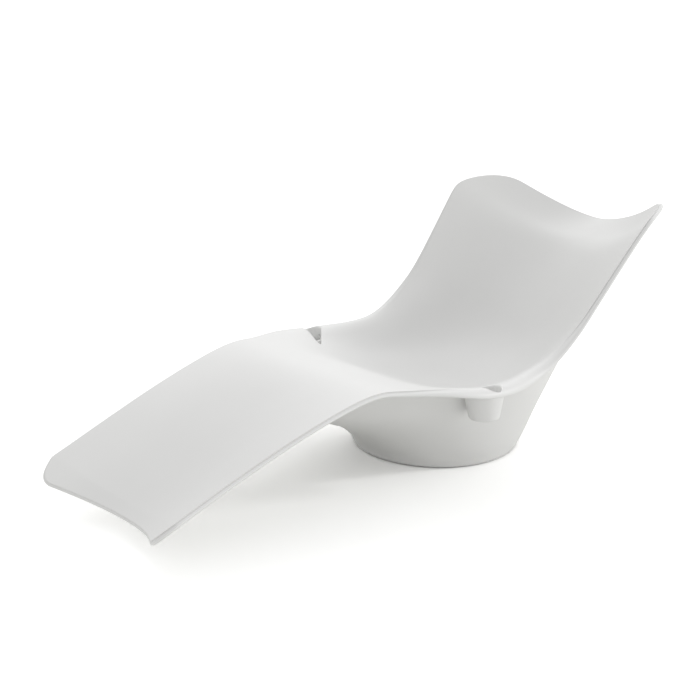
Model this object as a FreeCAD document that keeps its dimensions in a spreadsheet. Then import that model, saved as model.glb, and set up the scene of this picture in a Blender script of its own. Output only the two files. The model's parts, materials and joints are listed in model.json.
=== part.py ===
import FreeCAD, Part
import math
import os

# Spa relaxation lounger: a thin moulded shell, bowed across its width, on a flared hollow
# pedestal that stands on four levelling feet. Millimetres, +X towards the head, +Y to the
# sitter's left, +Z up, origin on the floor below the middle of the overall box.

os.makedirs("parts", exist_ok=True)

doc = FreeCAD.newDocument("lounger")
sheet = doc.addObject("Spreadsheet::Sheet", "Sizes")
Vec = FreeCAD.Vector
ORIGIN_TURN = FreeCAD.Rotation()

SIZES = {
    "reach": 1912.0,
    "rise": 691.0,
    "half_span": 383.0,
    "pedestal_axis_x": 208.6,
    "shell_wall": 14.0,
    "lip_reach": 15.0,
    "lip_depth": 12.0,
    "pedestal_radius": 250.0,
    "pedestal_wall": 8.0,
    "shadow_gap": 4.0,
    "flange_thickness": 6.0,
    "flange_width": 45.0,
    "bond_gap": 0.3,
    "cup_floor": 6.0,
    "cup_depth": 96.0,
    "cup_behind_axis": 162.0,
    "cup_clearance": 0.9,
    "boss_inset": 28.0,
    "boss_foot_radius": 43.0,
    "boss_top_radius": 58.0,
    "well_foot_radius": 30.0,
    "well_lean": 30.0,
    "mouth_radius": 26.5,
    "mouth_inset": 1.0,
    "notch_depth": 8.0,
    "tail_radius": 4.0,
    "tail_behind": 42.0,
    "tail_inset": 95.0,
    "web_thickness": 10.0,
    "web_spacing": 220.0,
    "cross_web_front": 200.0,
    "cross_web_rear": 230.0,
    "gusset_from_axis": 40.0,
    "plate_thickness": 10.0,
    "plate_clearance": 1.5,
    "ballast_radius": 185.0,
    "ballast_thickness": 20.0,
    "ballast_bolt_offset": 90.0,
    "bolt_radius": 5.0,
    "bolt_head_radius": 8.0,
    "bolt_head_height": 6.0,
    "screw_radius": 3.0,
    "screw_head_radius": 5.5,
    "screw_head_height": 4.0,
    "fastener_clearance": 0.1,
    "foot_radius": 22.0,
    "foot_clearance": 18.0,
    "sole_thickness": 3.0,
    "sole_inset": 1.0,
    "stud_radius": 5.0,
    "stud_length": 34.0,
    "stud_clearance": 0.05,
    "nut_flats": 17.0,
    "nut_height": 8.0,
    "nut_room": 3.0,
    "overrun": 40.0,
}

for row, (alias, value) in enumerate(SIZES.items(), start=1):
    sheet.set("A%d" % row, alias)
    sheet.set("B%d" % row, str(value))
    sheet.setAlias("B%d" % row, alias)
doc.recompute()


def size(alias):
    return float(sheet.get(alias))


reach = size("reach")
rise = size("rise")
half_span = size("half_span")
axis_x = size("pedestal_axis_x")
shell_wall = size("shell_wall")
base_radius = size("pedestal_radius")
pedestal_wall = size("pedestal_wall")
shadow_gap = size("shadow_gap")
bond_gap = size("bond_gap")
overrun = size("overrun")

# Stations from the foot end to the head end, as shares of reach, rise and half_span, with x
# measured from the pedestal's axis: edge x, edge z, centre x, centre z, half width, power of
# the bow across the shell, roll of the rim, share of the thicker lip along the rim.
STATION_SHARES = [
    (-0.6360, 0.1729, -0.5743, 0.0926, 0.762, 2.10, 0.00, 0.00),
    (-0.5952, 0.2144, -0.5575, 0.1216, 0.749, 2.00, 0.00, 0.00),
    (-0.5680, 0.2388, -0.5387, 0.1505, 0.736, 2.00, 0.00, 0.00),
    (-0.4430, 0.3647, -0.4336, 0.3053, 0.760, 2.00, 0.00, 0.00),
    (-0.2992, 0.4761, -0.2986, 0.4631, 0.794, 2.00, 0.00, 0.06),
    (-0.2312, 0.4790, -0.2317, 0.4703, 0.838, 2.00, 0.00, 0.18),
    (-0.1674, 0.4616, -0.1695, 0.4197, 0.937, 2.40, 0.08, 0.55),
    (-0.1056, 0.4356, -0.1098, 0.3531, 0.995, 2.90, 0.16, 0.92),
    (-0.0465, 0.4226, -0.0465, 0.2981, 0.982, 3.00, 0.18, 1.00),
    (0.0099, 0.4269, 0.0178, 0.2779, 0.924, 3.00, 0.18, 0.95),
    (0.0628, 0.4645, 0.0842, 0.2996, 0.903, 2.80, 0.12, 0.75),
    (0.1093, 0.5456, 0.1475, 0.3792, 0.916, 2.50, 0.06, 0.45),
    (0.1517, 0.6585, 0.2050, 0.5094, 0.935, 2.30, 0.00, 0.18),
    (0.2238, 0.8886, 0.2877, 0.7091, 0.990, 2.00, 0.00, 0.00),
    (0.2637, 0.9915, 0.3338, 0.7804, 1.011, 2.00, 0.00, 0.00),
    (0.3109, 1.0782, 0.3884, 0.8349, 1.008, 1.61, 0.00, 0.00),
]
LIP_START_SHARE = 0.80
ROLL_START_SHARE = 0.86
ACROSS_SHARES = (0.0, 0.28, 0.52, 0.72, 0.86, 0.94, 1.0)
ACROSS_PARAMETERS = [-a for a in reversed(ACROSS_SHARES[1:])] + list(ACROSS_SHARES)

# Corners of the rim's section from the skin to the underside: share of the wall's depth, share
# of the reach outward
HALF_ROUND = ((0.0, 0.0), (0.146, 0.707), (0.5, 1.0), (0.854, 0.707), (1.0, 0.0))
ROLLED_OVER = ((0.0, 0.0), (0.12, 0.475), (0.42, 0.815), (0.9, 0.995), (1.0, 0.0))
NOSE_FACETS = len(HALF_ROUND) - 1

# Both ends have rounded corners. A corner runs from a share of the half width at the end row
# to the full width a number of stations further in.
FOOT_CORNER_SHARE = 0.788
FOOT_CORNER_STATIONS = 2.0
HEAD_CORNER_SHARE = 0.684
HEAD_CORNER_STATIONS = 1.7
CORNER_STEP_SHARES = (0.0, 0.16, 0.42, 0.72, 1.0)

# Levels of the pedestal: height as a share of rise, then reach to the front, reach to the
# rear and half breadth as shares of pedestal_radius.
PEDESTAL_SHARES = [
    (0.000, 0.965, 1.000, 1.000),
    (0.026, 0.990, 1.054, 1.022),
    (0.052, 1.040, 1.108, 1.048),
    (0.104, 1.190, 1.208, 1.088),
    (0.203, 1.620, 1.396, 1.164),
    (0.318, 2.370, 1.624, 1.260),
    (0.449, 2.900, 1.884, 1.360),
    (0.608, 3.250, 2.200, 1.488),
    (0.752, 3.500, 2.488, 1.600),
]
EGG_POINTS = 16

parts = []


def finish(obj, label):
    """Names a document object as one of the sub-parts to be written."""
    obj.Label = label
    parts.append(obj)
    return obj


def polar(radius, count, first_angle):
    """Places on a circle round the pedestal's axis."""
    angles = [first_angle + 2 * math.pi * i / count for i in range(count)]
    return [Vec(radius * math.cos(a), radius * math.sin(a), 0) for a in angles]


def curve_through(points, parameters):
    curve = Part.BSplineCurve()
    curve.interpolate(Points=points, Parameters=parameters)
    return curve


# Shell surface

station_numbers = [float(i) for i in range(len(STATION_SHARES))]
last_station = station_numbers[-1]
edge_line = curve_through(
    [Vec(axis_x + s[0] * reach, s[4] * half_span, s[1] * rise) for s in STATION_SHARES],
    station_numbers)
centre_line = curve_through(
    [Vec(axis_x + s[2] * reach, 0, s[3] * rise) for s in STATION_SHARES], station_numbers)
form_line = curve_through(
    [Vec(s[5], s[6], number) for s, number in zip(STATION_SHARES, station_numbers)],
    station_numbers)
lip_line = curve_through(
    [Vec(s[7], 0, number) for s, number in zip(STATION_SHARES, station_numbers)],
    station_numbers)


def bow(across, power, roll):
    """Height of the bowed skin at a share of the width, as a share of its rise at the edge."""
    past = max(0.0, (across - ROLL_START_SHARE) / (1 - ROLL_START_SHARE))
    return across ** power * (1 - roll * past ** 2) / (1 - roll)


def section_frame(station):
    """Centre point, up direction, rise to the edge and half width of the section there."""
    centre = centre_line.value(station)
    edge = edge_line.value(station)
    up = Vec(edge.x - centre.x, 0, edge.z - centre.z)
    rise_here = up.Length
    return centre, up.normalize(), rise_here, edge.y


def nose_points(first, last, outward, lip):
    """Corners of the faceted rim: half round where thin, rolled over where the lip is full."""
    wall_here = last - first
    side_reach = wall_here.Length / 2 + size("lip_reach") * lip
    points = []
    for (round_down, round_out), (rolled_down, rolled_out) in zip(HALF_ROUND, ROLLED_OVER):
        down = round_down + (rolled_down - round_down) * lip
        out = round_out + (rolled_out - round_out) * lip
        points.append(first + wall_here * down + outward * (side_reach * out))
    return points


def shell_row(station, width_share):
    """Space points of the skin, right nose, underside and left nose in one section plane."""
    centre, up, rise_here, half_width = section_frame(station)
    form = form_line.value(station)
    lip = min(1.0, max(0.0, lip_line.value(station).x))
    half = []
    thickness = []
    for share in ACROSS_SHARES:
        across = width_share * share
        half.append(Vec(across * half_width, rise_here * bow(across, form.x, form.y), 0))
        near_rim = max(0.0, (share - LIP_START_SHARE) / (1 - LIP_START_SHARE))
        blend = near_rim ** 2 * (3 - 2 * near_rim)
        thickness.append(shell_wall + size("lip_depth") * lip * blend)
    skin = [Vec(-p.x, p.y, 0) for p in reversed(half[1:])] + half
    thickness = thickness[:0:-1] + thickness
    curve = curve_through(skin, ACROSS_PARAMETERS)
    tangents = [curve.tangent(parameter)[0].normalize() for parameter in ACROSS_PARAMETERS]
    under = [p - Vec(-t.y, t.x, 0) * wall for p, t, wall in zip(skin, tangents, thickness)]
    outward = tangents[-1]
    right = nose_points(skin[-1], under[-1], outward, lip)
    left = nose_points(skin[0], under[0], Vec(-outward.x, outward.y, 0), lip)

    def placed(points):
        return [centre + Vec(0, p.x, 0) + up * p.y for p in points]

    return placed(skin), placed(right), placed(under), placed(left)


def skinned(grid, across, along):
    """Smooth surface through a grid: curves through its rows, then through their poles."""
    rows_of_poles = []
    for points in grid:
        row_curve = curve_through(points, across)
        rows_of_poles.append(row_curve.getPoles())
    poles = []
    for column in zip(*rows_of_poles):
        column_curve = curve_through(list(column), along)
        poles.append(column_curve.getPoles())
    surface = Part.BSplineSurface()
    surface.buildFromPolesMultsKnots(
        poles,
        row_curve.getMultiplicities(), column_curve.getMultiplicities(),
        row_curve.getKnots(), column_curve.getKnots(),
        False, False, row_curve.Degree, column_curve.Degree)
    return surface


def corner_rows(count, first_share):
    """Stations in from the end, with the share of the width there, round one corner."""
    rows = []
    for step in CORNER_STEP_SHARES:
        angle = step * math.pi / 2
        rows.append((count * (1 - math.cos(angle)),
                     first_share + (1 - first_share) * math.sin(angle)))
    return rows


def shell_stations():
    """Stations of all rows with the share of the width that each one keeps."""
    rows = corner_rows(FOOT_CORNER_STATIONS, FOOT_CORNER_SHARE)
    head = corner_rows(HEAD_CORNER_STATIONS, HEAD_CORNER_SHARE)
    first_full = rows[-1][0]
    last_full = last_station - head[-1][0]
    for number in station_numbers:
        if first_full + 0.5 < number < last_full - 0.25:
            rows.append((number, 1.0))
    return rows + [(last_station - back, share) for back, share in reversed(head)]


grids = [shell_row(station, share) for station, share in shell_stations()]
along = [0.0]
for before, after in zip(grids, grids[1:]):
    along.append(along[-1] + (after[0][-1] - before[0][-1]).Length)


def nose_faces(side):
    """Narrow bands of one side's rounded edge, from the skin round to the underside."""
    lines = []
    for corner in range(NOSE_FACETS + 1):
        lines.append(curve_through([grid[side][corner] for grid in grids], along).toShape())
    return [Part.makeRuledSurface(a, b) for a, b in zip(lines, lines[1:])]


def end_face(grid):
    """Flat face that closes one end of the shell."""
    skin, right, under, left = grid
    outline = [curve_through(points, ACROSS_PARAMETERS).toShape() for points in (skin, under)]
    for nose in (right, left):
        outline += [Part.makeLine(a, b) for a, b in zip(nose, nose[1:])]
    return Part.Face(Part.Wire(Part.__sortEdges__(outline)))


skin_face = skinned([grid[0] for grid in grids], ACROSS_PARAMETERS, along).toShape()
underside_face = skinned([grid[2] for grid in grids], ACROSS_PARAMETERS, along).toShape()
shell_faces = [skin_face, underside_face] + nose_faces(1) + nose_faces(3)
shell_faces += [end_face(grids[0]), end_face(grids[-1])]
closed_shell = Part.Shell(shell_faces)
closed_shell.sewShape()
shell_blank = doc.addObject("Part::Feature", "shell_blank")
shell_blank.Shape = Part.Solid(closed_shell)

# Room below the shell, one bond line clear of its underside

lowered_face = underside_face.translated(Vec(0, 0, -bond_gap))
below_shell = doc.addObject("Part::Feature", "below_shell")
below_shell.Shape = lowered_face.extrude(Vec(0, 0, -rise))


# Pedestal

def egg_outline(level, inset):
    """One level of the pedestal: an egg with its own reach to the front and to the rear."""
    height, front, rear, side = level
    points = []
    for step in range(EGG_POINTS):
        angle = 2 * math.pi * step / EGG_POINTS
        end_reach = (rear if math.cos(angle) > 0 else front) * base_radius - inset
        points.append(Vec(axis_x + end_reach * math.cos(angle),
                          (side * base_radius - inset) * math.sin(angle),
                          shadow_gap + height * rise))
    outline = Part.BSplineCurve()
    outline.interpolate(Points=points, PeriodicFlag=True,
                        Parameters=[float(step) for step in range(EGG_POINTS + 1)])
    return outline


def pedestal_form(name, inset):
    """Closed solid, smooth through all the levels, its wall moved inward by the inset."""
    outlines = [egg_outline(level, inset) for level in PEDESTAL_SHARES]
    heights = [level[0] for level in PEDESTAL_SHARES]
    columns = [curve_through(list(column), heights)
               for column in zip(*[outline.getPoles() for outline in outlines])]
    around, upward = outlines[0], columns[0]
    surface = Part.BSplineSurface()
    surface.buildFromPolesMultsKnots(
        [column.getPoles() for column in columns],
        around.getMultiplicities(), upward.getMultiplicities(),
        around.getKnots(), upward.getKnots(),
        True, False, around.Degree, upward.Degree)
    side = surface.toShape()
    ends = [Part.Face(Part.Wire(outline.toShape())) for outline in (outlines[0], outlines[-1])]
    closed = Part.Shell([side] + ends)
    closed.sewShape()
    obj = doc.addObject("Part::Feature", name)
    obj.Shape = Part.Solid(closed)
    return obj


def cylinder(name, radius, height, x, y, z):
    """Upright cylinder whose sizes and place are expressions of the sheet's sizes."""
    solid = doc.addObject("Part::Cylinder", name)
    solid.setExpression("Radius", radius)
    solid.setExpression("Height", height)
    solid.setExpression("Placement.Base.x", x)
    solid.setExpression("Placement.Base.y", y)
    solid.setExpression("Placement.Base.z", z)
    return solid


def combine(kind, name, shapes):
    """Part::MultiFuse or Part::MultiCommon of several objects."""
    obj = doc.addObject(kind, name)
    obj.Shapes = shapes
    return obj


def cut(name, base, tool):
    obj = doc.addObject("Part::Cut", name)
    obj.Base = base
    obj.Tool = tool
    return obj


AXIS = "Sizes.pedestal_axis_x"
FLOOR = "Sizes.shadow_gap"
PLATE_BOTTOM = "Sizes.shadow_gap + Sizes.flange_thickness"
PLATE_TOP = PLATE_BOTTOM + " + Sizes.plate_thickness"
BALLAST_TOP = PLATE_TOP + " + Sizes.ballast_thickness"

outer_form = pedestal_form("pedestal_outer", 0)
inner_form = pedestal_form("pedestal_inner", pedestal_wall)
web_form = pedestal_form("web_room", pedestal_wall + bond_gap)

above_flange = doc.addObject("Part::Box", "above_flange")
above_flange.setExpression("Length", "2 * Sizes.reach")
above_flange.setExpression("Width", "4 * Sizes.half_span")
above_flange.setExpression("Height", "Sizes.rise")
above_flange.setExpression("Placement.Base.x", "-Sizes.reach")
above_flange.setExpression("Placement.Base.y", "-2 * Sizes.half_span")
above_flange.setExpression("Placement.Base.z", PLATE_BOTTOM)
cavity = combine("Part::MultiCommon", "pedestal_cavity", [inner_form, above_flange])
flange_hole = cylinder(
    "flange_hole", "Sizes.pedestal_radius - Sizes.flange_width",
    "Sizes.flange_thickness + 2 * Sizes.overrun", AXIS, "0", FLOOR + " - Sizes.overrun")

# Side pockets: each has a tapered boss below the rim, a well that leans outward inside it and
# a drop-shaped notch round the well's mouth, sunk part of the way into the shell

cup_x = axis_x - size("cup_behind_axis")


def rim_at(x):
    """Point of the shell's edge above a place along the lounger, found by halving."""
    low, high = 0.0, last_station
    for _ in range(40):
        middle = (low + high) / 2
        if edge_line.value(middle).x < x:
            low = middle
        else:
            high = middle
    return edge_line.value(low)


rim = rim_at(cup_x)
cup_bottom = rim.z - size("cup_depth")
cup_floor = cup_bottom + size("cup_floor")
cup_height = size("cup_depth") + overrun
BOSS_CENTRE = Vec(cup_x, rim.y - size("boss_inset"), cup_bottom)
WELL_TOP = Vec(BOSS_CENTRE.x, BOSS_CENTRE.y + size("well_lean"), rim.z)
MOUTH_CENTRE = Vec(cup_x, rim.y - size("mouth_inset"), rim.z)
TAIL_CENTRE = Vec(cup_x - size("tail_behind"), rim.y - size("tail_inset"), rim.z)


def cone(name, extra):
    """Tapered boss from the foot of the pocket up past the shell, or larger by extra."""
    solid = doc.addObject("Part::Cone", name)
    taper = (size("boss_top_radius") - size("boss_foot_radius")) / size("cup_depth")
    solid.Radius1 = size("boss_foot_radius") + extra
    solid.Radius2 = solid.Radius1.Value + taper * cup_height
    solid.Height = cup_height + extra
    solid.Placement = FreeCAD.Placement(BOSS_CENTRE - Vec(0, 0, extra), ORIGIN_TURN)
    return solid


def ring_sketch(name, centre, radius):
    sketch = doc.addObject("Sketcher::SketchObject", name)
    sketch.addGeometry(Part.Circle(Vec(0, 0, 0), Vec(0, 0, 1), radius), False)
    sketch.Placement = FreeCAD.Placement(centre, ORIGIN_TURN)
    return sketch


def loft_between(name, sections):
    loft = doc.addObject("Part::Loft", name)
    loft.Sections = sections
    loft.Solid = True
    loft.Ruled = True
    return loft


def leaning_well():
    """Slanted cone from the pocket's floor through its mouth and on above the shell."""
    foot = Vec(BOSS_CENTRE.x, BOSS_CENTRE.y, cup_floor)
    past = (rim.z + overrun - cup_floor) / (rim.z - cup_floor)
    top = foot + (WELL_TOP - foot) * past
    foot_radius = size("well_foot_radius")
    top_radius = foot_radius + (size("mouth_radius") - foot_radius) * past
    return loft_between("well", [ring_sketch("well_foot", foot, foot_radius),
                                 ring_sketch("well_top", top, top_radius)])


def drop_sketch(name, big, big_radius, small, small_radius, z):
    """Drop outline round two circles: two arcs and the straight tangents between them."""
    line_up = small - big
    heading = math.atan2(line_up.y, line_up.x)
    spread = math.acos((big_radius - small_radius) / line_up.Length)

    def on(circle, radius, angle):
        return Vec(circle.x + radius * math.cos(angle), circle.y + radius * math.sin(angle), 0)

    first, second = heading + spread, heading - spread
    corners = [on(big, big_radius, first), on(big, big_radius, second),
               on(small, small_radius, second), on(small, small_radius, first)]
    sketch = doc.addObject("Sketcher::SketchObject", name)
    back = on(big, big_radius, heading + math.pi)
    tip = on(small, small_radius, heading)
    sketch.addGeometry(Part.Arc(corners[0], back, corners[1]), False)
    sketch.addGeometry(Part.LineSegment(corners[1], corners[2]), False)
    sketch.addGeometry(Part.Arc(corners[2], tip, corners[3]), False)
    sketch.addGeometry(Part.LineSegment(corners[3], corners[0]), False)
    sketch.Placement = FreeCAD.Placement(Vec(0, 0, z), ORIGIN_TURN)
    return sketch


def drop_notch():
    """Drop-shaped prism above the shell's core, so that it sinks only part of the way in."""
    ends = [drop_sketch("drop_" + tag, MOUTH_CENTRE, size("mouth_radius"), TAIL_CENTRE,
                        size("tail_radius"), z)
            for tag, z in (("foot", cup_bottom), ("top", rim.z + overrun))]
    prism = loft_between("drop", ends)
    core = doc.addObject("Part::Feature", "shell_core")
    core.Shape = shell_blank.Shape.translated(Vec(0, 0, -size("notch_depth")))
    pieces = cut("drop_split", prism, core)
    doc.recompute()
    notch = doc.addObject("Part::Feature", "notch")
    notch.Shape = max(pieces.Shape.Solids, key=lambda solid: solid.CenterOfMass.z)
    return notch


boss = cone("boss", 0)
room = cone("room", size("cup_clearance"))
well = leaning_well()
notch = drop_notch()
cup_tall = cut("cup_tall", boss, well)
cup_split = cut("cup_split", cup_tall, shell_blank)
doc.recompute()
lowest = min(cup_split.Shape.Solids, key=lambda solid: solid.CenterOfMass.z)
left_cup = doc.addObject("Part::Feature", "cup_left")
left_cup.Shape = lowest
left_cup.Placement = FreeCAD.Placement(Vec(0, 0, -bond_gap), ORIGIN_TURN)
finish(left_cup, "pocket_cup_left")


def mirrored(name, source):
    """Copy of an object on the sitter's right."""
    obj = doc.addObject("Part::Mirroring", name)
    obj.Source = source
    obj.Normal = Vec(0, 1, 0)
    return obj


finish(mirrored("cup_right", left_cup), "pocket_cup_right")
hand = {"left": 1, "right": -1}
cup_rooms = [room, mirrored("room_right", room)]
seat = shell_blank
for tool in (notch, mirrored("notch_right", notch), well, mirrored("well_right", well)):
    seat = cut("seat_less_" + tool.Name, seat, tool)
finish(seat, "seat_shell")

# Base plate, ballast and fasteners

SCREW_COUNT = 8
FOOT_ANGLE_SHARE = 1 / 6
foot_offset = base_radius - size("flange_width") - size("foot_radius") - size("foot_clearance")
foot_across = foot_offset * math.cos(math.pi * FOOT_ANGLE_SHARE)
foot_aside = foot_offset * math.sin(math.pi * FOOT_ANGLE_SHARE)
foot_places = [Vec(s * foot_across, t * foot_aside, 0) for s in (-1, 1) for t in (1, -1)]
foot_names = ("front_left", "front_right", "rear_left", "rear_right")
flange_hole_radius = base_radius - size("flange_width")
plate_radius = min(PEDESTAL_SHARES[0][1:]) * base_radius - pedestal_wall - size("plate_clearance")
screw_circle = (flange_hole_radius + plate_radius) / 2
screw_places = polar(screw_circle, SCREW_COUNT, math.pi / SCREW_COUNT)
bolt_places = polar(size("ballast_bolt_offset"), 4, math.pi / 4)
fastener_clearance = size("fastener_clearance")


def upright(name, radius, bottom, top, places):
    """Equal upright cylinders at several places round the pedestal's axis."""
    shapes = []
    for place in places:
        centre = Vec(axis_x + place.x, place.y, bottom)
        shapes.append(Part.makeCylinder(radius, top - bottom, centre))
    obj = doc.addObject("Part::Feature", name)
    obj.Shape = Part.makeCompound(shapes)
    return obj


def disc_body(name, radius, thickness, bottom, holes):
    """Round plate padded from a sketch of its rim and of its holes."""
    body = doc.addObject("PartDesign::Body", name)
    sketch = body.newObject("Sketcher::SketchObject", name + "_outline")
    plane = [f for f in body.Origin.OriginFeatures if f.Role == "XY_Plane"][0]
    sketch.AttachmentSupport = [(plane, "")]
    sketch.MapMode = "FlatFace"
    up = Vec(0, 0, 1)
    sketch.addGeometry(Part.Circle(Vec(0, 0, 0), up, radius), False)
    for place, hole_radius in holes:
        sketch.addGeometry(Part.Circle(place, up, hole_radius), False)
    pad = body.newObject("PartDesign::Pad", name + "_pad")
    pad.Profile = sketch
    pad.setExpression("Length", thickness)
    body.setExpression("Placement.Base.x", AXIS)
    body.setExpression("Placement.Base.z", bottom)
    return body


plate_bottom = shadow_gap + size("flange_thickness")
plate_top = plate_bottom + size("plate_thickness")
ballast_top = plate_top + size("ballast_thickness")
stud_hole = size("stud_radius") + size("stud_clearance")
nut_radius = size("nut_flats") / 2 / math.cos(math.pi / 6)
screw_hole = size("screw_radius") + fastener_clearance
bolt_hole = size("bolt_radius") + fastener_clearance

plate_holes = [(p, stud_hole) for p in foot_places]
plate_holes += [(p, screw_hole) for p in screw_places]
plate_holes += [(p, bolt_hole) for p in bolt_places]
finish(disc_body("plate", plate_radius, "Sizes.plate_thickness", PLATE_BOTTOM, plate_holes),
       "base_plate")

ballast_holes = [(p, nut_radius + size("nut_room")) for p in foot_places]
ballast_holes += [(p, bolt_hole) for p in bolt_places]
finish(disc_body("ballast", size("ballast_radius"), "Sizes.ballast_thickness", PLATE_TOP,
                 ballast_holes), "ballast_plate")


def headed(name, label, places, shank, head, head_height, seat, tip):
    """Group of headed fasteners that stand upright, head uppermost on its seat."""
    shapes = []
    for place in places:
        centre = Vec(axis_x + place.x, place.y, 0)
        shaft = Part.makeCylinder(shank, seat - tip, centre + Vec(0, 0, tip))
        cap = Part.makeCylinder(head, head_height, centre + Vec(0, 0, seat))
        shapes.append(shaft.fuse(cap).removeSplitter())
    obj = doc.addObject("Part::Feature", name)
    obj.Shape = Part.makeCompound(shapes)
    return finish(obj, label)


headed("bolts", "ballast_bolts", bolt_places, size("bolt_radius"), size("bolt_head_radius"),
       size("bolt_head_height"), ballast_top, plate_bottom)
headed("screws", "base_screws", screw_places, size("screw_radius"), size("screw_head_radius"),
       size("screw_head_height"), plate_top, shadow_gap + size("flange_thickness") / 3)

nut_shapes = []
for place in foot_places:
    centre = Vec(axis_x + place.x, place.y, plate_top)
    corners = [centre + Vec(nut_radius * math.cos(math.pi * k / 3),
                            nut_radius * math.sin(math.pi * k / 3), 0) for k in range(7)]
    block = Part.Face(Part.makePolygon(corners)).extrude(Vec(0, 0, size("nut_height")))
    nut_shapes.append(block.cut(Part.makeCylinder(stud_hole, size("nut_height"), centre)))
nuts = doc.addObject("Part::Feature", "nuts")
nuts.Shape = Part.makeCompound(nut_shapes)
finish(nuts, "foot_nuts")

# Levelling feet

FOOT_OFFSET = ("(Sizes.pedestal_radius - Sizes.flange_width - Sizes.foot_radius"
               " - Sizes.foot_clearance)")
for foot_name, place in zip(foot_names, foot_places):
    x = "%s + %.8f * %s" % (AXIS, place.x / foot_offset, FOOT_OFFSET)
    y = "%.8f * %s" % (place.y / foot_offset, FOOT_OFFSET)
    pad = cylinder("pad_" + foot_name, "Sizes.foot_radius",
                   PLATE_BOTTOM + " - Sizes.sole_thickness", x, y, "Sizes.sole_thickness")
    stud = cylinder("stud_" + foot_name, "Sizes.stud_radius", "Sizes.stud_length", x, y, PLATE_BOTTOM)
    finish(combine("Part::MultiFuse", "levelling_" + foot_name, [pad, stud]), "foot_" + foot_name)
    sole = cylinder("rubber_" + foot_name, "Sizes.foot_radius - Sizes.sole_inset",
                    "Sizes.sole_thickness", x, y, "0")
    finish(sole, "foot_sole_" + foot_name)

# Pedestal shell, trimmed to the underside of the seat shell and opened for the two cups

screw_bores = upright("screw_bores", screw_hole, shadow_gap + size("flange_thickness") / 3,
                      plate_bottom + overrun, screw_places)
removed = combine("Part::MultiFuse", "pedestal_removed",
                  [cavity, flange_hole, screw_bores] + cup_rooms)
pedestal_solid = combine("Part::MultiCommon", "pedestal_solid", [outer_form, below_shell])
finish(cut("pedestal", pedestal_solid, removed), "pedestal_shell")

# Webs bonded inside the pedestal, between the ballast and the seat shell


def web(label, length, width, x, y):
    """Upright web: a plate cut to the room inside the pedestal and below the shell."""
    block = doc.addObject("Part::Box", label + "_block")
    block.setExpression("Length", length)
    block.setExpression("Width", width)
    block.setExpression("Height", "Sizes.rise")
    block.setExpression("Placement.Base.x", x)
    block.setExpression("Placement.Base.y", y)
    block.setExpression("Placement.Base.z", BALLAST_TOP)
    shaped = combine("Part::MultiCommon", label + "_shaped", [block, web_form, below_shell])
    return shaped


HALF_WEB = "Sizes.web_thickness / 2"
BETWEEN = "(Sizes.web_spacing - Sizes.web_thickness - 2 * Sizes.bond_gap)"
for side_name, side in hand.items():
    y = "%d * Sizes.web_spacing / 2 - %s" % (side, HALF_WEB)
    finish(web("web_" + side_name, "2 * Sizes.reach", "Sizes.web_thickness", "-Sizes.reach", y),
           "long_web_" + side_name)
for end_name, x in (("front", AXIS + " - Sizes.cross_web_front"),
                    ("rear", AXIS + " + Sizes.cross_web_rear")):
    finish(web("cross_" + end_name, "Sizes.web_thickness", BETWEEN, x + " - " + HALF_WEB,
               "-%s / 2" % BETWEEN), "cross_web_" + end_name)
for side_name, side in hand.items():
    inner_edge = "(Sizes.web_spacing + Sizes.web_thickness) / 2 + Sizes.bond_gap"
    y = inner_edge if side > 0 else "-(%s) - 2 * Sizes.half_span" % inner_edge
    finish(web("side_" + side_name, "Sizes.web_thickness", "2 * Sizes.half_span",
               AXIS + " + Sizes.gusset_from_axis - " + HALF_WEB, y), "gusset_" + side_name)

doc.recompute()

faults = [o.Name for o in doc.Objects if "Invalid" in o.State or "Error" in o.State]
for obj in parts:
    if obj.Shape.isNull() or not obj.Shape.isValid():
        faults.append(obj.Label)
if faults:
    raise RuntimeError("failed objects: " + ", ".join(faults))

for obj in parts:
    box = obj.Shape.BoundBox
    print("%-24s %2d solids %12.0f mm3  x %7.1f %7.1f  y %7.1f %7.1f  z %6.1f %6.1f" % (
        obj.Label, len(obj.Shape.Solids), obj.Shape.Volume,
        box.XMin, box.XMax, box.YMin, box.YMax, box.ZMin, box.ZMax))
    obj.Shape.exportStep("parts/%s.step" % obj.Label)
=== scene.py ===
import json
import math

import bmesh
import bpy
import numpy as np
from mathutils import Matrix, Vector
from mathutils.bvhtree import BVHTree


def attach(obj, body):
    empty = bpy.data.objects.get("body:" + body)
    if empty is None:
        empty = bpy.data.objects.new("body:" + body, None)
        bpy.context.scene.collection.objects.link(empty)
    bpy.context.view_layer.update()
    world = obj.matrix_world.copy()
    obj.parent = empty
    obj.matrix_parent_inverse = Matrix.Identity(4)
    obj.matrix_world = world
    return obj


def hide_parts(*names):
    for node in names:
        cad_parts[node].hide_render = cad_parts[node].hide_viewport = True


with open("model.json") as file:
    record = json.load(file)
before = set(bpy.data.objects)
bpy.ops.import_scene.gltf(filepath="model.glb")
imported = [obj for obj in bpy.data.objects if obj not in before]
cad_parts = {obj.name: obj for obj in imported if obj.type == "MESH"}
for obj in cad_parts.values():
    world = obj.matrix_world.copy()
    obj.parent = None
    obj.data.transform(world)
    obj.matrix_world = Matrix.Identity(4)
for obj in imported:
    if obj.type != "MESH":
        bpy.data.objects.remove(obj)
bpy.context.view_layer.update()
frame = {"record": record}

# Spa relaxation lounger. The shell, the pedestal and the pockets are drawn here at a finer
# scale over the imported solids, from the same shares and sizes. Lengths are in metres.

REACH, RISE, HALF_SPAN = 1.912, 0.691, 0.383
AXIS_X = 0.2086
SHELL_WALL = 0.014

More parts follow.
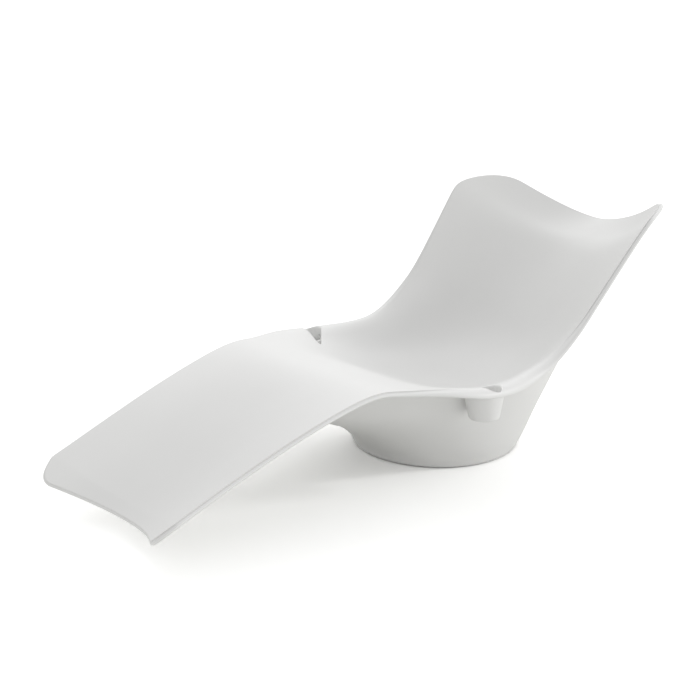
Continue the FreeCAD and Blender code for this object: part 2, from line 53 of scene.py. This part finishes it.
# edge x, edge z, centre x, centre z, half width, power of the bow, roll of the rim, lip
STATIONS = np.array([
    (-0.6360, 0.1729, -0.5743, 0.0926, 0.762, 2.10, 0.00, 0.00),
    (-0.5952, 0.2144, -0.5575, 0.1216, 0.749, 2.00, 0.00, 0.00),
    (-0.5680, 0.2388, -0.5387, 0.1505, 0.736, 2.00, 0.00, 0.00),
    (-0.4430, 0.3647, -0.4336, 0.3053, 0.760, 2.00, 0.00, 0.00),
    (-0.2992, 0.4761, -0.2986, 0.4631, 0.794, 2.00, 0.00, 0.06),
    (-0.2312, 0.4790, -0.2317, 0.4703, 0.838, 2.00, 0.00, 0.18),
    (-0.1674, 0.4616, -0.1695, 0.4197, 0.937, 2.40, 0.08, 0.55),
    (-0.1056, 0.4356, -0.1098, 0.3531, 0.995, 2.90, 0.16, 0.92),
    (-0.0465, 0.4226, -0.0465, 0.2981, 0.982, 3.00, 0.18, 1.00),
    (0.0099, 0.4269, 0.0178, 0.2779, 0.924, 3.00, 0.18, 0.95),
    (0.0628, 0.4645, 0.0842, 0.2996, 0.903, 2.80, 0.12, 0.75),
    (0.1093, 0.5456, 0.1475, 0.3792, 0.916, 2.50, 0.06, 0.45),
    (0.1517, 0.6585, 0.2050, 0.5094, 0.935, 2.30, 0.00, 0.18),
    (0.2238, 0.8886, 0.2877, 0.7091, 0.990, 2.00, 0.00, 0.00),
    (0.2637, 0.9915, 0.3338, 0.7804, 1.011, 2.00, 0.00, 0.00),
    (0.3109, 1.0782, 0.3884, 0.8349, 1.008, 1.61, 0.00, 0.00),
])
LAST = len(STATIONS) - 1
LIP_REACH, LIP_DEPTH, LIP_START = 0.015, 0.012, 0.80
ROLL_START = 0.86

# Round corners of the two ends: share of the width that the end keeps, stations that the corner
# takes, inset of the end from the first or last station
FOOT_CORNER, FOOT_STATIONS, FOOT_INSET = 0.788, 2.0, 0.075
HEAD_CORNER, HEAD_STATIONS, HEAD_INSET = 0.684, 1.7, 0.06
CORNER_STEPS, SIDE_STEPS = 16, 96
ACROSS, CROWDED_EDGES = 72, 0.35

# Section of the thin rim, from the sharp edge of the skin to the underside: share of the wall's
# depth, share of the reach outward. A shallow groove runs right below the edge.
THIN_RIM = ((0, 0), (0.05, -0.16), (0.12, -0.24), (0.2, -0.14), (0.27, 0.12), (0.33, 0.4),
            (0.4, 0.64), (0.5, 0.8), (0.6, 0.84), (0.7, 0.78), (0.8, 0.62), (0.9, 0.38),
            (0.96, 0.18), (1, 0))
RIM_STEPS = len(THIN_RIM) - 1

# Pedestal: height as a share of the rise, reach to the front, reach to the rear, half breadth
BASE_RADIUS, SHADOW_GAP = 0.250, 0.004
PEDESTAL = np.array([
    (0.000, 0.965, 1.000, 1.000),
    (0.026, 0.990, 1.054, 1.022),
    (0.052, 1.040, 1.108, 1.048),
    (0.104, 1.190, 1.208, 1.088),
    (0.203, 1.620, 1.396, 1.164),
    (0.318, 2.370, 1.624, 1.260),
    (0.449, 2.900, 1.884, 1.360),
    (0.608, 3.250, 2.200, 1.488),
    (0.752, 3.500, 2.488, 1.600),
])
PEDESTAL_COLUMNS, PEDESTAL_LEVELS, LOW_CROWDING = 240, 72, 1.15
PEDESTAL_ROUND, PEDESTAL_FLANGE = 0.0025, 0.045

# Pocket: the boss under the rim, the leaning well in it and the notch round its mouth
CUP_X, CUP_FLOOR, CUP_DEPTH = AXIS_X - 0.162, 0.006, 0.096
BOSS_INSET, BOSS_FOOT, BOSS_TOP, BOSS_SWELL = 0.028, 0.043, 0.058, 0.16
BOSS_ROUND, BOSS_IN_SHELL = 0.007, 0.004
WELL_FOOT, WELL_LEAN = 0.030, 0.0245
MOUTH_RADIUS, MOUTH_INSET, MOUTH_DEPTH, MOUTH_AHEAD = 0.0275, 0.005, 0.020, 0.002
TAIL_RADIUS, TAIL_BEHIND, TAIL_INSET = 0.004, 0.042, 0.095
NOTCH_DEPTH, NOTCH_FOOT_INSET = 0.036, 0.012
NOTCH_FOOT_TAIL_BEHIND, NOTCH_FOOT_TAIL_INSET = 0.022, 0.064
NOTCH_WALL, NOTCH_CLEAR, TOOL_ABOVE = 0.001, 0.0002, 0.06
EDGE_LEAST, EDGE_TO_BACK, EDGE_ON_CREST = 0.0015, 0.0045, 0.006
CREST_INSET, CREST_HALF_WIDTH = 0.006, 0.034
EDGE_TURN, EDGE_STEPS = math.radians(72), 8
EDGE_RISE_SHARE, EDGE_RISE = 0.3, 0.0005
ROUND = 96                 # points of each ring round a boss or a well
BOSS_ROUND_STEPS, BOSS_STEPS = 7, 14
HARD_EDGE = math.radians(50)

HIGH_UP, FAR_BELOW = 3, -1             # starting heights of the rays
RIM_HALVINGS, MEETING_HALVINGS = 40, 24
UP, DOWN = Vector((0, 0, 1)), Vector((0, 0, -1))


# Curves and meshes

def natural_spline(knots, values):
    """Second derivatives of the natural cubic spline through the rows of values."""
    n = len(knots)
    step = np.diff(knots)
    matrix = np.zeros((n, n))
    right = np.zeros_like(values)
    matrix[0, 0] = matrix[-1, -1] = 1
    for i in range(1, n - 1):
        matrix[i, i - 1] = step[i - 1]
        matrix[i, i] = 2 * (step[i - 1] + step[i])
        matrix[i, i + 1] = step[i]
        right[i] = 6 * ((values[i + 1] - values[i]) / step[i]
                        - (values[i] - values[i - 1]) / step[i - 1])
    return np.linalg.solve(matrix, right)


class Curve:
    """Natural cubic spline, held at its ends."""

    def __init__(self, knots, values):
        self.knots = np.asarray(knots, float)
        self.values = np.asarray(values, float)
        self.bends = natural_spline(self.knots, self.values)

    def at(self, place):
        k = self.knots
        place = min(max(place, k[0]), k[-1])
        i = min(int(np.searchsorted(k, place, side="right")) - 1, len(k) - 2)
        h = k[i + 1] - k[i]
        a = (k[i + 1] - place) / h
        b = 1 - a
        return (a * self.values[i] + b * self.values[i + 1]
                + ((a ** 3 - a) * self.bends[i] + (b ** 3 - b) * self.bends[i + 1]) * h * h / 6)


def smooth_step(share):
    return share ** 2 * (3 - 2 * share)


def mesh_object(name, vertices, faces, smooth=True):
    mesh = bpy.data.meshes.new(name)
    mesh.from_pydata([tuple(v) for v in vertices], [], faces)
    mesh.validate()
    mesh.update()
    bm = bmesh.new()
    bm.from_mesh(mesh)
    bmesh.ops.recalc_face_normals(bm, faces=bm.faces)
    bm.to_mesh(mesh)
    bm.free()
    if smooth:
        mesh.shade_smooth()
    obj = bpy.data.objects.new(name, mesh)
    bpy.context.scene.collection.objects.link(obj)
    return obj


def tube_object(name, rings, smooth=True):
    """Closed mesh through equal rings, with a flat face at each end."""
    count = len(rings[0])
    faces = [tuple(range(count - 1, -1, -1)),
             tuple(range((len(rings) - 1) * count, len(rings) * count))]
    for i in range(len(rings) - 1):
        for k in range(count):
            n = (k + 1) % count
            faces.append((i * count + k, i * count + n, (i + 1) * count + n, (i + 1) * count + k))
    return mesh_object(name, [v for ring in rings for v in ring], faces, smooth)


def mesh_tree(obj):
    bm = bmesh.new()
    bm.from_mesh(obj.data)
    tree = BVHTree.FromBMesh(bm)
    bm.free()
    return tree


# Shell

line = Curve(np.arange(LAST + 1), STATIONS)


def skin_point(station, across):
    """Place on the skin at a station and a signed share of the half width there."""
    ex, ez, cx, cz, width, power, roll, _ = line.at(station)
    centre = np.array([AXIS_X + cx * REACH, 0, cz * RISE])
    edge = np.array([AXIS_X + ex * REACH, 0, ez * RISE])
    size = abs(across)
    past = max(0.0, (size - ROLL_START) / (1 - ROLL_START))
    lift = size ** power * (1 - roll * past ** 2) / (1 - roll)
    return centre + (edge - centre) * lift + np.array([0, across * width * HALF_SPAN, 0])


def skin_frame(station, across):
    """Point and unit normal of the skin, the normal pointing to the sitter's side."""
    ds, du = 0.01, 0.004
    s0, s1 = max(station - ds, 0), min(station + ds, LAST)
    along = skin_point(s1, across) - skin_point(s0, across)
    over = skin_point(station, across + du) - skin_point(station, across - du)
    normal = np.cross(along, over)
    return skin_point(station, across), normal / np.linalg.norm(normal)


def station_rows():
    """Stations with the share of the width kept there, from the foot end to the head end."""
    foot, head = [], []
    for k in range(CORNER_STEPS + 1):
        angle = math.pi / 2 * k / CORNER_STEPS
        foot.append((FOOT_INSET + (FOOT_STATIONS - FOOT_INSET) * (1 - math.cos(angle)),
                     FOOT_CORNER + (1 - FOOT_CORNER) * math.sin(angle)))
        head.append((LAST - HEAD_INSET - (HEAD_STATIONS - HEAD_INSET) * (1 - math.cos(angle)),
                     HEAD_CORNER + (1 - HEAD_CORNER) * math.sin(angle)))
    first, last = foot[-1][0], head[-1][0]
    sides = [(first + (last - first) * k / SIDE_STEPS, 1.0) for k in range(1, SIDE_STEPS)]
    return foot + sides + head[::-1]


def width_share(j):
    """Signed share of the half width at a column, with the columns closer near the edges."""
    even = 2 * j / ACROSS - 1
    return math.sin(math.pi / 2 * even) * CROWDED_EDGES + even * (1 - CROWDED_EDGES)


def rolled_over(part):
    """Down and outward shares of the lip's section: a long round, then a tight one under it."""
    turn_at, tight, tuck = 0.72, 0.12, 0.25
    if part < turn_at:
        angle = math.pi / 2 * part / turn_at
        return (1 - tight) * (1 - math.cos(angle)), math.sin(angle)
    angle = math.pi / 2 * (part - turn_at) / (1 - turn_at)
    return 1 - tight + tight * math.sin(angle), 1 - tuck * (1 - math.cos(angle))


def build_shell(rows, shares):
    """Skin and underside as grids, joined by the rim's section along their whole outline."""
    wide, count = len(shares), len(rows)
    top, low, lips = [], [], []
    for station, keep in rows:
        lip = min(max(line.at(station)[7], 0.0), 1.0)
        lips.append(lip)
        for share in shares:
            point, normal = skin_frame(station, share * keep)
            near_rim = smooth_step(max(0.0, (abs(share) - LIP_START) / (1 - LIP_START)))
            top.append(point)
            low.append(point - normal * (SHELL_WALL + LIP_DEPTH * lip * near_rim))
    vertices = top + low
    faces = []
    for i in range(count - 1):
        for j in range(wide - 1):
            a = i * wide + j
            faces.append((a, a + 1, a + wide + 1, a + wide))
            b = a + count * wide
            faces.append((b, b + wide, b + wide + 1, b + 1))
    loop = list(range(wide))
    loop += [i * wide + wide - 1 for i in range(1, count)]
    loop += [(count - 1) * wide + j for j in range(wide - 2, -1, -1)]
    loop += [i * wide for i in range(count - 2, 0, -1)]
    points = np.array([top[k] for k in loop])
    under = np.array([low[k] for k in loop])
    lip_at = np.array([lips[k // wide] for k in loop])[:, None]
    depth = np.linalg.norm(points - under, axis=1)[:, None]
    normals = (points - under) / depth
    tangents = np.roll(points, -1, axis=0) - np.roll(points, 1, axis=0)
    outward = np.cross(tangents, normals)
    outward /= np.linalg.norm(outward, axis=1)[:, None]
    if np.mean(np.einsum("ij,ij->i", outward, points - points.mean(axis=0))) < 0:
        outward = -outward
    side_reach = depth / 2 + LIP_REACH * lip_at
    rings = [loop]
    for step in range(1, RIM_STEPS):
        thin_down, thin_out = THIN_RIM[step]
        down, out = rolled_over(step / RIM_STEPS)
        down = thin_down + (down - thin_down) * lip_at
        out = thin_out + (out - thin_out) * lip_at
        start = len(vertices)
        vertices += list(points - normals * depth * down + outward * side_reach * out)
        rings.append(list(range(start, start + len(loop))))
    rings.append([k + count * wide for k in loop])
    for a, b in zip(rings, rings[1:]):
        for k in range(len(loop)):
            n = (k + 1) % len(loop)
            faces.append((a[k], b[k], b[n], a[n]))
    return mesh_object("lounger_shell", vertices, faces), top, low


def middle_surface(top, low, wide):
    """Ray target halfway through the wall."""
    middle = [Vector((a + b) / 2) for a, b in zip(top, low)]
    quads = [(a, a + 1, a + wide + 1, a + wide)
             for a in range(len(middle) - wide) if a % wide < wide - 1]
    return BVHTree.FromPolygons(middle, quads)


shell_shares = [width_share(j) for j in range(ACROSS + 1)]
shell, top_grid, low_grid = build_shell(station_rows(), shell_shares)
middle_tree = middle_surface(top_grid, low_grid, len(shell_shares))
skin_tree = mesh_tree(shell)


def rim_at(x):
    """Half width and height of the rim at a place along the lounger."""
    low, high = 0.0, float(LAST)
    for _ in range(RIM_HALVINGS):
        middle = (low + high) / 2
        if AXIS_X + line.at(middle)[0] * REACH < x:
            low = middle
        else:
            high = middle
    row = line.at(low)
    return row[4] * HALF_SPAN, row[1] * RISE


# Pedestal

pedestal_line = Curve(PEDESTAL[:, 0], PEDESTAL[:, 1:])


def pedestal_point(angle, share):
    front, rear, side = pedestal_line.at(share) * BASE_RADIUS
    ahead = rear if math.cos(angle) > 0 else front
    return Vector((AXIS_X + ahead * math.cos(angle), side * math.sin(angle),
                   SHADOW_GAP + share * RISE))


def meeting_share(angle):
    """Height share at which the pedestal's side reaches the middle of the shell's wall."""
    low, high = 0.0, PEDESTAL[-1, 0]
    for _ in range(MEETING_HALVINGS):
        middle = (low + high) / 2
        if middle_tree.ray_cast(pedestal_point(angle, middle), UP)[0] is None:
            high = middle
        else:
            low = middle
    return low


def build_pedestal():
    """Side wall from a flange and a small round at the floor up into the shell."""
    foot_steps = 4
    vertices, faces = [], []
    for c in range(PEDESTAL_COLUMNS):
        angle = 2 * math.pi * c / PEDESTAL_COLUMNS
        top_share = meeting_share(angle)
        base = pedestal_point(angle, 0)
        inward = Vector((AXIS_X - base.x, -base.y, 0)).normalized()
        vertices.append(base + inward * PEDESTAL_FLANGE)
        for k in range(foot_steps + 1):
            turn = math.pi / 2 * k / foot_steps
            vertices.append(base + inward * (PEDESTAL_ROUND * (1 - math.sin(turn)))
                            + UP * (PEDESTAL_ROUND * (1 - math.cos(turn))))
        for k in range(1, PEDESTAL_LEVELS + 1):
            share = top_share * (k / PEDESTAL_LEVELS) ** LOW_CROWDING
            if share * RISE > PEDESTAL_ROUND:
                vertices.append(pedestal_point(angle, share))
            else:
                vertices.append(vertices[-1].copy())
    deep = len(vertices) // PEDESTAL_COLUMNS
    for c in range(PEDESTAL_COLUMNS):
        d = (c + 1) % PEDESTAL_COLUMNS
        for k in range(deep - 1):
            faces.append((c * deep + k, d * deep + k, d * deep + k + 1, c * deep + k + 1))
    obj = mesh_object("lounger_pedestal", vertices, faces)
    bm = bmesh.new()
    bm.from_mesh(obj.data)
    bmesh.ops.remove_doubles(bm, verts=bm.verts, dist=1e-6)
    bmesh.ops.recalc_face_normals(bm, faces=bm.faces)
    bm.to_mesh(obj.data)
    bm.free()
    obj.data.shade_smooth()
    return obj


pedestal = build_pedestal()


# Materials

def new_material(name):
    material = bpy.data.materials.new(name)
    material.use_nodes = True
    tree = material.node_tree
    return material, tree, tree.nodes["Principled BSDF"]


def add(tree, kind, **values):
    node = tree.nodes.new(kind)
    for key, value in values.items():
        setattr(node, key, value)
    return node


def noise(tree, scale, detail=3.0):
    where = add(tree, "ShaderNodeTexCoord")
    node = add(tree, "ShaderNodeTexNoise")
    node.inputs["Scale"].default_value = scale
    node.inputs["Detail"].default_value = detail
    tree.links.new(where.outputs["Object"], node.inputs["Vector"])
    return node


def cloudy_tone(tree, scale, colours):
    """Colour that drifts between two close tones."""
    cloud = noise(tree, scale)
    node = add(tree, "ShaderNodeValToRGB")
    for element, place, colour in zip(node.color_ramp.elements, (0.3, 0.7), colours):
        element.position = place
        element.color = (*colour, 1)
    tree.links.new(cloud.outputs["Fac"], node.inputs["Fac"])
    return node.outputs["Color"]


def mapped(tree, source, low, high):
    node = add(tree, "ShaderNodeMapRange")
    node.inputs["To Min"].default_value = low
    node.inputs["To Max"].default_value = high
    tree.links.new(source, node.inputs["Value"])
    return node.outputs["Result"]


def surface(name, colours, rough, grain, bump, metal=0.0):
    """Moulded or painted finish: cloudy tone, patchy roughness and a fine grain."""
    cloud_scale, patch_scale, grain_height = 2.5, 7.5, 0.0004
    material, tree, shader = new_material(name)
    tree.links.new(cloudy_tone(tree, cloud_scale, colours), shader.inputs["Base Color"])
    patch = noise(tree, patch_scale)
    tree.links.new(mapped(tree, patch.outputs["Fac"], *rough), shader.inputs["Roughness"])
    fine = noise(tree, grain, 2.0)
    relief = add(tree, "ShaderNodeBump")
    relief.inputs["Strength"].default_value = bump
    relief.inputs["Distance"].default_value = grain_height
    tree.links.new(fine.outputs["Fac"], relief.inputs["Height"])
    tree.links.new(relief.outputs["Normal"], shader.inputs["Normal"])
    shader.inputs["Metallic"].default_value = metal
    return material


WHITE = surface("moulded_white", [(0.73, 0.73, 0.722), (0.755, 0.755, 0.748)],
                (0.42, 0.5), 900.0, 0.10)
# Paler copy of the moulded white for the walls and floors of the wells and notches: painted light
# that stands in for light reaching into these recesses.
POCKET_PAINTED_LIGHT = surface("pocket_white_painted_light", [(0.86, 0.86, 0.85), (0.88, 0.88, 0.87)],
                 (0.42, 0.5), 900.0, 0.10)
LAMINATE = surface("raw_laminate", [(0.42, 0.40, 0.32), (0.55, 0.52, 0.42)],
                   (0.6, 0.75), 160.0, 0.4)
BLACK = surface("black_paint", [(0.012, 0.012, 0.012), (0.02, 0.02, 0.02)],
                (0.4, 0.55), 400.0, 0.25)
ZINC = surface("zinc_plate", [(0.5, 0.5, 0.5), (0.62, 0.62, 0.6)],
               (0.28, 0.42), 500.0, 0.2, metal=1.0)
FOOT = surface("foot_plastic", [(0.014, 0.014, 0.014), (0.022, 0.022, 0.022)],
               (0.5, 0.6), 600.0, 0.3)
RUBBER = surface("sole_rubber", [(0.010, 0.010, 0.010), (0.018, 0.018, 0.018)],
                 (0.75, 0.9), 500.0, 0.4)
SLOT_MATERIALS = {"shell": WHITE, "cup": WHITE, "web": LAMINATE, "plate": BLACK,
                  "zinc": ZINC, "foot": FOOT, "sole": RUBBER}


# Side pockets

rim_y, rim_z = rim_at(CUP_X)
cup_foot = rim_z - CUP_DEPTH
boss_y = rim_y - BOSS_INSET


def circle_ring(x, y, radius, z):
    turns = [2 * math.pi * k / ROUND for k in range(ROUND)]
    return [Vector((x + radius * math.cos(t), y + radius * math.sin(t), z)) for t in turns]


def well_ring(share):
    """Circle of the leaning well at a share of the way from its floor to the rim."""
    radius = WELL_FOOT + (MOUTH_RADIUS - WELL_FOOT) * share
    z = cup_foot + CUP_FLOOR + (CUP_DEPTH - CUP_FLOOR) * share
    return circle_ring(CUP_X, boss_y + WELL_LEAN * share, radius, z)


def drop_outline(big, small):
    """Points and outward directions round the notch's mouth circle and its tail circle."""
    big, small = np.array(big, float), np.array(small, float)
    line_up = small - big
    heading = math.atan2(line_up[1], line_up[0])
    spread = math.acos((MOUTH_RADIUS - TAIL_RADIUS) / np.linalg.norm(line_up))
    places, outward = [], []
    around, tip, flank = 96, 24, 24

    def arc(middle, radius, start, sweep, count):
        for k in range(count + 1):
            turn = start + sweep * k / count
            way = np.array([math.cos(turn), math.sin(turn)])
            yield middle + radius * way, way

    def straight(start, end, way):
        for j in range(1, flank):
            places.append(start + (end - start) * j / flank)
            outward.append(way)

    for place, way in arc(big, MOUTH_RADIUS, heading + spread, 2 * math.pi - 2 * spread, around):
        places.append(place)
        outward.append(way)
    tail = list(arc(small, TAIL_RADIUS, heading - spread, 2 * spread, tip))
    straight(places[-1], tail[0][0], tail[0][1])
    for place, way in tail:
        places.append(place)
        outward.append(way)
    straight(places[-1], places[0], outward[0])
    return np.array(places), np.array(outward)


def sided(ring, side):
    return [Vector((p.x, side * p.y, p.z)) for p in ring]


def skin_at(x, y):
    """Height and steepness of the shell's upper surface, seen from above."""
    hit, normal = skin_tree.ray_cast(Vector((x, y, HIGH_UP)), DOWN)[:2]
    if hit is None:
        return rim_z - MOUTH_DEPTH, 0.0
    return hit.z, abs(normal.z)


def from_below(tree, point):
    hit = tree.ray_cast(Vector((point.x, point.y, FAR_BELOW)), UP)[0]
    return None if hit is None else hit.z


def edge_round(x, y, way):
    """Radius of the notch's upper edge: softer towards the back, widest at the rim's crest."""
    crest = smooth_step(max(0.0, 1 - abs(rim_y - y - CREST_INSET) / CREST_HALF_WIDTH))
    radius = (EDGE_LEAST + EDGE_TO_BACK * max(way[0], 0.0)
              + EDGE_ON_CREST * max(-way[0], 0.0) * crest)
    return radius * skin_at(x, y)[1] ** 3


def notch_tool(side):
    """Drop form whose floor ramps up from the well to the tail, with a rounded upper edge."""
    foot, _ = drop_outline((CUP_X, rim_y - NOTCH_FOOT_INSET),
                           (CUP_X - NOTCH_FOOT_TAIL_BEHIND, rim_y - NOTCH_FOOT_TAIL_INSET))
    places, outward = drop_outline((CUP_X + MOUTH_AHEAD, rim_y - MOUTH_INSET),
                                   (CUP_X - TAIL_BEHIND, rim_y - TAIL_INSET))
    radii = [edge_round(x, y, way) for (x, y), way in zip(places, outward)]

    def edge_ring(aside, height):
        """Ring beside the outline: both its shift outward and its height follow the radius."""
        ring = []
        for place, way, radius in zip(places, outward, radii):
            x, y = place + way * aside(radius)
            ring.append(Vector((x, y, skin_at(x, y)[0] + height(radius))))
        return ring

    rings = [[Vector((x, y, rim_z - NOTCH_DEPTH)) for x, y in foot]]
    rings.append([Vector((x, y, min(rim_z - MOUTH_DEPTH, skin_at(x, y)[0] - radius - NOTCH_WALL)))
                  for (x, y), radius in zip(places, radii)])
    for k in range(EDGE_STEPS + 1):
        turn = EDGE_TURN * k / EDGE_STEPS
        rings.append(edge_ring(lambda radius: radius * (1 - math.cos(turn)),
                               lambda radius: -radius * (1 - math.sin(turn))))
    rings.append(edge_ring(lambda radius: radius + NOTCH_CLEAR,
                           lambda radius: EDGE_RISE_SHARE * radius + EDGE_RISE))
    rings.append([Vector((p.x, p.y, rim_z + TOOL_ABOVE)) for p in rings[-1]])
    return tube_object("notch_tool", [sided(ring, side) for ring in rings], smooth=False)


def well_tool(side):
    return tube_object("well_tool", [sided(well_ring(share), side) for share in (0, 0.5, 1, 1.6)],
                       smooth=False)


def cut(obj, tools):
    """Take the tools out of the object's mesh and mark its hard edges."""
    for tool in tools:
        modifier = obj.modifiers.new("mouth", "BOOLEAN")
        modifier.operation = "DIFFERENCE"
        modifier.solver = "EXACT"
        modifier.material_mode = "TRANSFER"
        modifier.object = tool
    bpy.context.view_layer.update()
    depsgraph = bpy.context.evaluated_depsgraph_get()
    baked = bpy.data.meshes.new_from_object(obj.evaluated_get(depsgraph))
    obj.modifiers.clear()
    whole, obj.data = obj.data, baked
    bpy.data.meshes.remove(whole)
    obj.data.set_sharp_from_angle(angle=HARD_EDGE)


def build_cup(name, side):
    """Tapered boss with a rounded foot, the well inside and its top within the shell."""
    rings = []
    for k in range(BOSS_ROUND_STEPS + 1):
        turn = math.pi / 2 * k / BOSS_ROUND_STEPS
        rings.append(circle_ring(CUP_X, boss_y, BOSS_FOOT - BOSS_ROUND * (1 - math.sin(turn)),
                                 cup_foot + BOSS_ROUND * (1 - math.cos(turn))))
    for k in range(1, BOSS_STEPS + 1):
        share = k / BOSS_STEPS
        rings.append(circle_ring(CUP_X, boss_y, BOSS_FOOT + (BOSS_TOP - BOSS_FOOT) * share,
                                 cup_foot + BOSS_ROUND + (CUP_DEPTH - BOSS_ROUND) * share))
    for ring in rings:
        for point in ring:
            if point.x < CUP_X:
                height = (point.z - cup_foot) / CUP_DEPTH
                point.x = CUP_X + (point.x - CUP_X) * (1 + BOSS_SWELL * height)
    outside = 2 + len(rings) * ROUND
    rings += [well_ring(k / BOSS_STEPS) for k in range(BOSS_STEPS, -1, -1)]
    axis, shrink = Vector((CUP_X, boss_y, 0)), 0.98
    for ring in rings:
        for point in ring:
            under = from_below(skin_tree, point)
            while under is None:
                point.xy = axis.xy + (point.xy - axis.xy) * shrink
                under = from_below(skin_tree, point)
            ramp_floor = from_below(notch_tree, point)
            point.z = min(point.z, under + BOSS_IN_SHELL,
                          rim_z if ramp_floor is None else ramp_floor)
    obj = tube_object(name, [sided(ring, side) for ring in rings])
    obj.data.materials.append(WHITE)
    obj.data.materials.append(POCKET_PAINTED_LIGHT)
    # The well's inner faces and its floor take the paler white: painted light inside the recess.
    for face in obj.data.polygons:
        face.material_index = 1 if face.index >= outside or face.index == 1 else 0
    obj.data.set_sharp_from_angle(angle=HARD_EDGE)
    return obj


tools = [notch_tool(1), notch_tool(-1), well_tool(1), well_tool(-1)]
shell.data.materials.append(WHITE)
# The tools carry the paler white into the cut walls of the notches and wells: painted light in
# these recesses.
for tool in tools:
    tool.data.materials.append(POCKET_PAINTED_LIGHT)
notch_tree = mesh_tree(tools[0])
cut(shell, tools)
for tool in tools:
    mesh = tool.data
    bpy.data.objects.remove(tool)
    bpy.data.meshes.remove(mesh)
cups = [build_cup("lounger_pocket_left", 1), build_cup("lounger_pocket_right", -1)]


# Bodies, slots and finishes

slots = {entry["node"]: entry["material_slot"] for entry in frame["record"]["subparts"]}
for node, slot_name in slots.items():
    obj = bpy.data.objects.get(node)
    if obj is None:
        continue
    for entry in obj.material_slots:
        entry.material = SLOT_MATERIALS[slot_name]

pedestal.data.materials.append(WHITE)
for piece, nodes in ((shell, ["seat_shell"]), (pedestal, ["pedestal_shell"]),
                     (cups[0], ["pocket_cup_left"]), (cups[1], ["pocket_cup_right"])):
    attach(piece, "lounger")
    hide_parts(*nodes)


# Floor and surroundings. The floor is brighter for the camera than for the light that it sends
# back to the lounger, and the sky is white for the camera only.

FLOOR_HALF, FLOOR_CLOUD, FLOOR_GAIN = 60.0, 1.5, 1.30
FLOOR_TONES = [(0.98, 0.98, 0.975), (1.0, 1.0, 0.995)]
FLOOR_UNSEEN = (0.90, 0.90, 0.88, 1)
SKY_UNSEEN, SKY_SEEN = 0.755, 1.0

floor_material, floor_tree, floor_shader = new_material("pale_floor")
floor_tone = cloudy_tone(floor_tree, FLOOR_CLOUD, FLOOR_TONES)
floor_seen = add(floor_tree, "ShaderNodeLightPath")
floor_colour = add(floor_tree, "ShaderNodeMix", data_type="RGBA")
mix_share, mix_first, mix_second = (floor_colour.inputs[k] for k in (0, 6, 7))
mix_first.default_value = FLOOR_UNSEEN
floor_gain = add(floor_tree, "ShaderNodeVectorMath", operation="SCALE")
floor_gain.inputs["Scale"].default_value = FLOOR_GAIN
floor_tree.links.new(floor_seen.outputs["Is Camera Ray"], mix_share)
floor_tree.links.new(floor_tone, floor_gain.inputs[0])
floor_tree.links.new(floor_gain.outputs[0], mix_second)
floor_tree.links.new(floor_colour.outputs[2], floor_shader.inputs["Base Color"])
floor_shader.inputs["Roughness"].default_value = 0.9
floor_shader.inputs["Specular IOR Level"].default_value = 0.0
floor = mesh_object("floor", [(-FLOOR_HALF, -FLOOR_HALF, 0), (FLOOR_HALF, -FLOOR_HALF, 0),
                              (FLOOR_HALF, FLOOR_HALF, 0), (-FLOOR_HALF, FLOOR_HALF, 0)],
                    [(0, 1, 2, 3)], smooth=False)
floor.data.materials.append(floor_material)

world = bpy.data.worlds.new("studio")
bpy.context.scene.world = world
world.use_nodes = True
world_tree = world.node_tree
background = world_tree.nodes["Background"]
background.inputs["Color"].default_value = (1, 1, 1, 1)
world_seen = add(world_tree, "ShaderNodeLightPath")
world_tree.links.new(mapped(world_tree, world_seen.outputs["Is Camera Ray"], SKY_UNSEEN, SKY_SEEN),
                     background.inputs["Strength"])


# Lights and camera

def soft_sun(name, azimuth, elevation, strength, spread):
    """Broad even light from far away, so that the floor stays equally bright all over."""
    data = bpy.data.lights.new(name, "SUN")
    data.energy = strength
    data.angle = math.radians(spread)
    lamp = bpy.data.objects.new(name, data)
    bpy.context.scene.collection.objects.link(lamp)
    turn, lift = math.radians(azimuth), math.radians(elevation)
    way = Vector((math.cos(turn) * math.cos(lift), math.sin(turn) * math.cos(lift),
                  math.sin(lift)))
    lamp.rotation_euler = (-way).to_track_quat("-Z", "Y").to_euler()


soft_sun("light_right", -37, 22, 0.92, 10)
soft_sun("light_rear", 49, 35, 0.45, 50)
soft_sun("light_over_rear", 60, 50, 0.41, 40)

CAMERA_TURN, CAMERA_DROP = math.radians(41.262), math.radians(17.205)
CAMERA_AWAY, CAMERA_LEFT, CAMERA_OVER = 4.20806, 0.2525, 0.2657      # from the base's middle
FOCAL_PIXELS, PICTURE_PIXELS, SENSOR_MM = 1392.943, 700, 36.0

forward = Vector((math.sin(CAMERA_TURN) * math.cos(CAMERA_DROP),
                  math.cos(CAMERA_TURN) * math.cos(CAMERA_DROP), -math.sin(CAMERA_DROP)))
right = Vector((math.cos(CAMERA_TURN), -math.sin(CAMERA_TURN), 0))
upward = Vector((math.sin(CAMERA_TURN) * math.sin(CAMERA_DROP),
                 math.cos(CAMERA_TURN) * math.sin(CAMERA_DROP), math.cos(CAMERA_DROP)))
camera_data = bpy.data.cameras.new("camera")
camera = bpy.data.objects.new("camera", camera_data)
bpy.context.scene.collection.objects.link(camera)
camera.location = (Vector((AXIS_X, 0, 0)) - forward * CAMERA_AWAY - right * CAMERA_LEFT
                   + upward * CAMERA_OVER)
camera.rotation_euler = forward.to_track_quat("-Z", "Y").to_euler()
camera_data.sensor_width = SENSOR_MM
camera_data.lens = FOCAL_PIXELS / PICTURE_PIXELS * SENSOR_MM
camera_data.clip_end = 100
bpy.context.scene.camera = camera
bpy.context.scene.view_settings.view_transform = "Standard"
